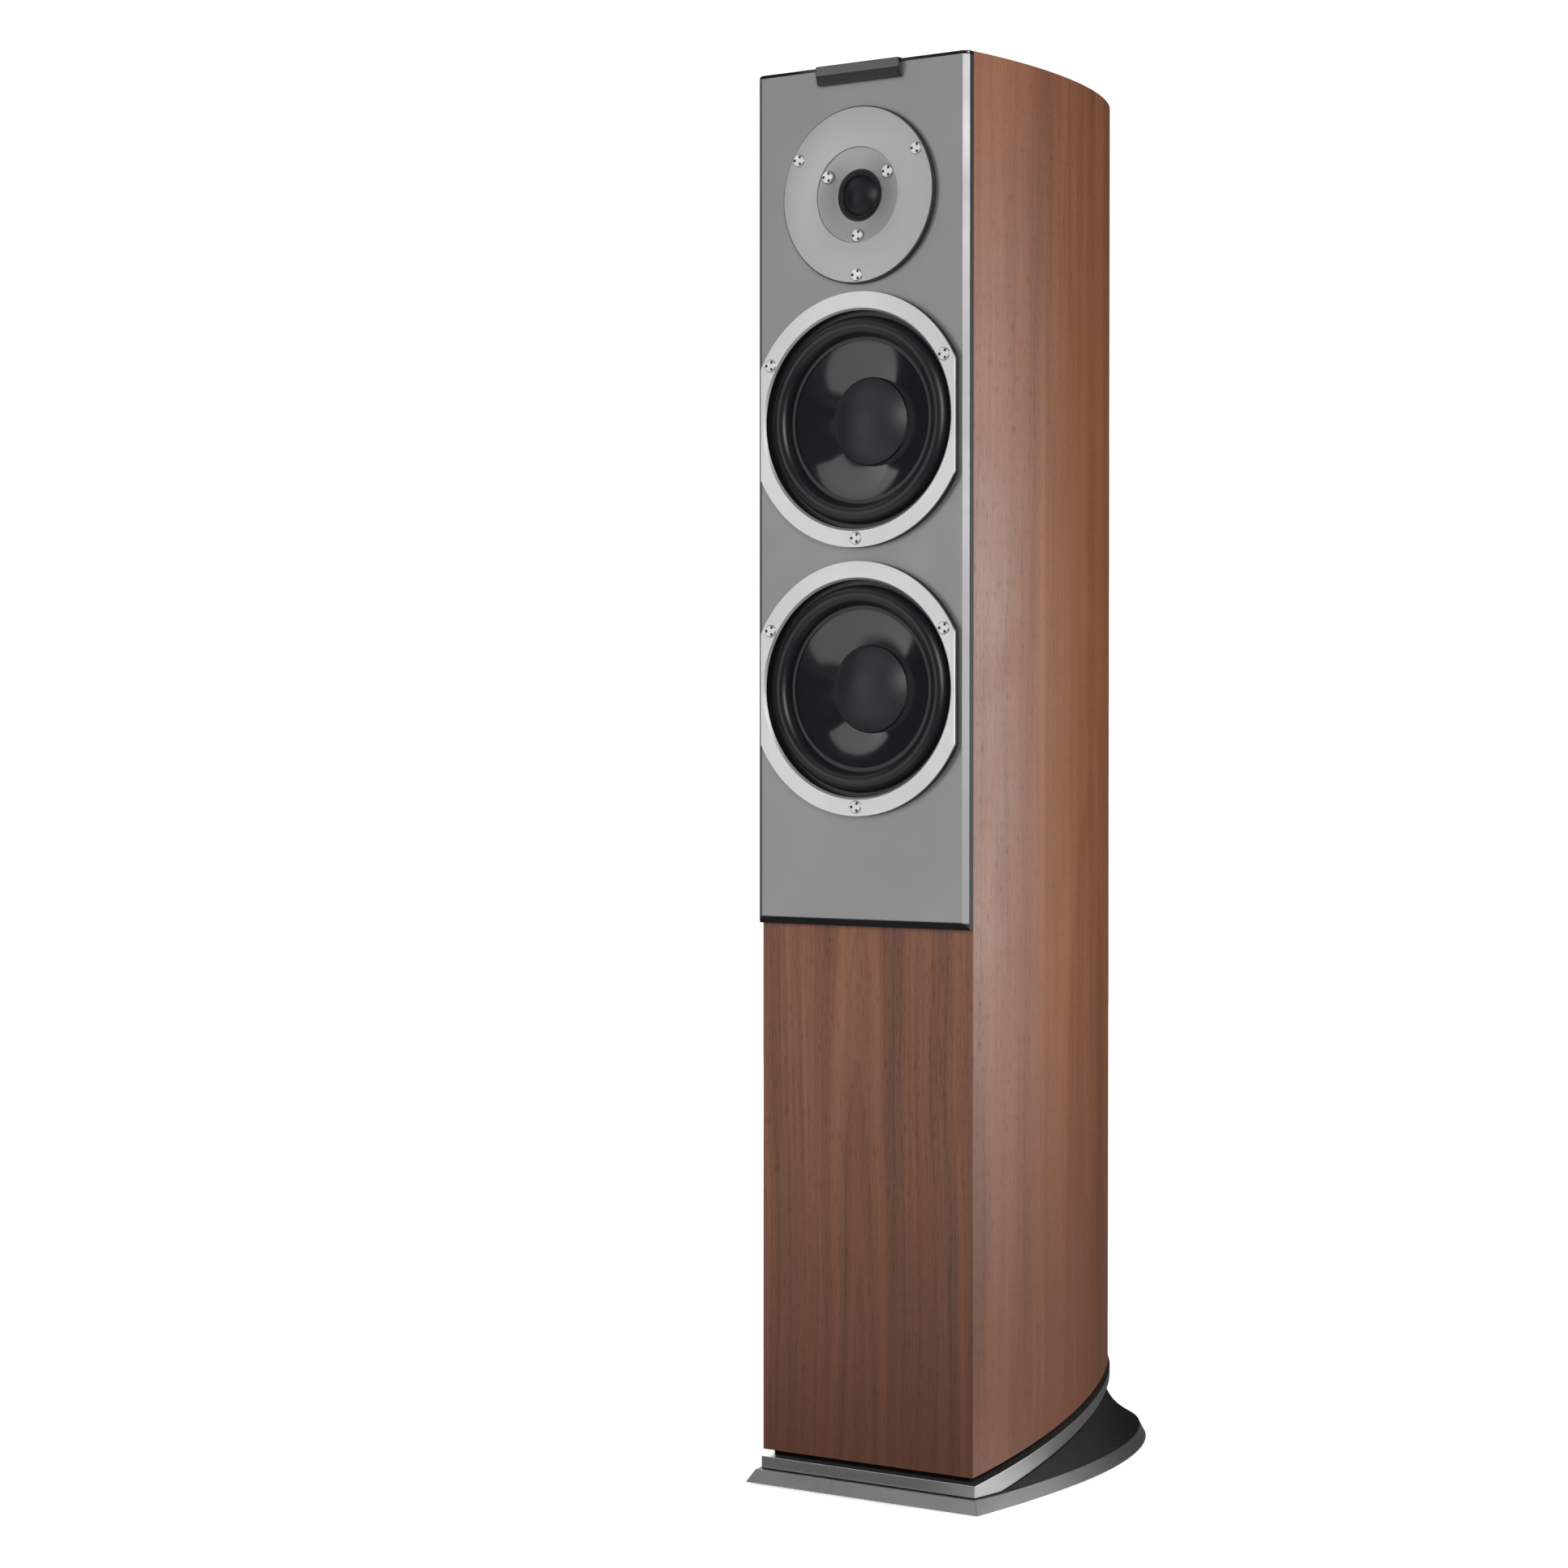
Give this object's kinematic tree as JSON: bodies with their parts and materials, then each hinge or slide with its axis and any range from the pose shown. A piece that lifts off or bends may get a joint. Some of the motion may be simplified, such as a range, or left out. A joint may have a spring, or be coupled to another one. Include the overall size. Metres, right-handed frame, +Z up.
{
  "type": "floorstanding loudspeaker",
  "caption": "Slim floorstanding loudspeaker: bowed walnut cabinet on a sloping flared silver plinth, grey front plate, stacked woofers and a dome tweeter above.",
  "frame": {"origin": "centre of the bounding box on the floor plane", "axes": "+Z up, the drive units face -Y, +X to the right of a listener looking from behind the speaker towards its front"},
  "size_m": [0.216, 0.3714, 1.03],
  "materials": {
    "veneer": "satin lacquered walnut veneer",
    "board": "raw fibreboard",
    "wadding": "loose fibre",
    "plate": "fine satin grey",
    "black_gloss": "glossy",
    "black_plastic": "matt",
    "black_texture": "fine textured",
    "silver": "satin silver",
    "bright_silver": "bright satin silver",
    "satin_aluminium": "satin",
    "black_metal": "black powder coat",
    "rubber": "soft matt",
    "cone_black": "semi-gloss coated paper",
    "cap_grey": "satin",
    "cloth": "resin-dipped cloth",
    "copper": "enamelled wire",
    "steel": "zinc plated",
    "ferrite": "matt ceramic",
    "foam": "foam",
    "dome_cloth": "coated",
    "gold": "polished plating",
    "red_plastic": "glossy",
    "board_green": "printed board",
    "can_yellow": "wrapped film",
    "cable": "insulation"
  },
  "bodies": {
    "cabinet_body": {"left_side_panel": "veneer", "right_side_panel": "veneer", "front_board": "veneer", "top_panel": "veneer", "bottom_panel": "board", "back_panel": "veneer", "shelf_braces": "board", "damping_wadding": "wadding", "baffle_plate": "plate", "top_trim": "black_gloss", "plinth_spacer": "black_plastic", "plinth_upper_plate": "silver", "plinth_core": "black_texture", "plinth_base_plate": "silver", "plinth_bolts": "steel", "feet": "rubber", "lower_woofer_trim_ring": "bright_silver", "lower_woofer_basket": "black_metal", "lower_woofer_surround": "rubber", "lower_woofer_spider": "cloth", "lower_woofer_top_plate": "steel", "lower_woofer_magnet": "ferrite", "lower_woofer_yoke": "steel", "upper_woofer_trim_ring": "bright_silver", "upper_woofer_basket": "black_metal", "upper_woofer_surround": "rubber", "upper_woofer_spider": "cloth", "upper_woofer_top_plate": "steel", "upper_woofer_magnet": "ferrite", "upper_woofer_yoke": "steel", "woofer_gaskets": "foam", "woofer_screws": "steel", "tweeter_flange": "black_plastic", "tweeter_faceplate": "satin_aluminium", "tweeter_dish": "satin_aluminium", "tweeter_surround": "dome_cloth", "tweeter_top_plate": "steel", "tweeter_magnet": "ferrite", "tweeter_yoke": "steel", "tweeter_screws": "steel", "port_tube": "black_plastic", "terminal_plate": "satin_aluminium", "terminal_screws": "steel", "binding_posts": "gold", "crossover_board": "board_green", "crossover_inductors": "copper", "crossover_capacitors": "can_yellow", "internal_wiring": "cable"},
    "upper_cone_body": {"upper_woofer_cone": "cone_black", "upper_woofer_dust_cap": "cap_grey", "upper_woofer_voice_coil": "copper"},
    "lower_cone_body": {"lower_woofer_cone": "cone_black", "lower_woofer_dust_cap": "cap_grey", "lower_woofer_voice_coil": "copper"},
    "tweeter_dome_body": {"tweeter_dome": "dome_cloth", "tweeter_voice_coil": "copper"},
    "red_washer_body": {"red_terminal_washer": "gold"},
    "red_knob_body": {"red_terminal_knob": "red_plastic"},
    "black_washer_body": {"black_terminal_washer": "gold"},
    "black_knob_body": {"black_terminal_knob": "black_plastic"}
  },
  "joints": [
    {"name": "lower_cone_travel", "type": "slide", "parent": "cabinet_body", "child": "lower_cone_body", "axis": [0, -1, 0], "range_m": [-0.005, 0.005], "stiffness_N_per_m": 1200, "deforming": ["lower_woofer_surround", "lower_woofer_spider"]},
    {"name": "upper_cone_travel", "type": "slide", "parent": "cabinet_body", "child": "upper_cone_body", "axis": [0, -1, 0], "range_m": [-0.005, 0.005], "stiffness_N_per_m": 1200, "deforming": ["upper_woofer_surround", "upper_woofer_spider"]},
    {"name": "tweeter_dome_travel", "type": "slide", "parent": "cabinet_body", "child": "tweeter_dome_body", "axis": [0, -1, 0], "range_m": [-0.0004, 0.0004], "stiffness_N_per_m": 800, "deforming": ["tweeter_surround"]},
    {"name": "red_knob_lift", "type": "slide", "parent": "cabinet_body", "child": "red_washer_body", "axis": [0, 1, 0], "range_m": [0, 0.005]},
    {"name": "red_knob_turn", "type": "hinge", "parent": "red_washer_body", "child": "red_knob_body", "pos_m": [0.00953, 0.12115, 0.2], "axis": [0, 1, 0], "range_deg": [0, 1800.1]},
    {"name": "black_knob_lift", "type": "slide", "parent": "cabinet_body", "child": "black_washer_body", "axis": [0, 1, 0], "range_m": [0, 0.005]},
    {"name": "black_knob_turn", "type": "hinge", "parent": "black_washer_body", "child": "black_knob_body", "pos_m": [-0.00953, 0.12115, 0.2], "axis": [0, 1, 0], "range_deg": [0, 1800.1]}
  ],
  "couplings": [
    {"joint": "red_knob_turn", "follows": "red_knob_lift", "rad_per_m": 6283.2},
    {"joint": "black_knob_turn", "follows": "black_knob_lift", "rad_per_m": 6283.2}
  ]
}
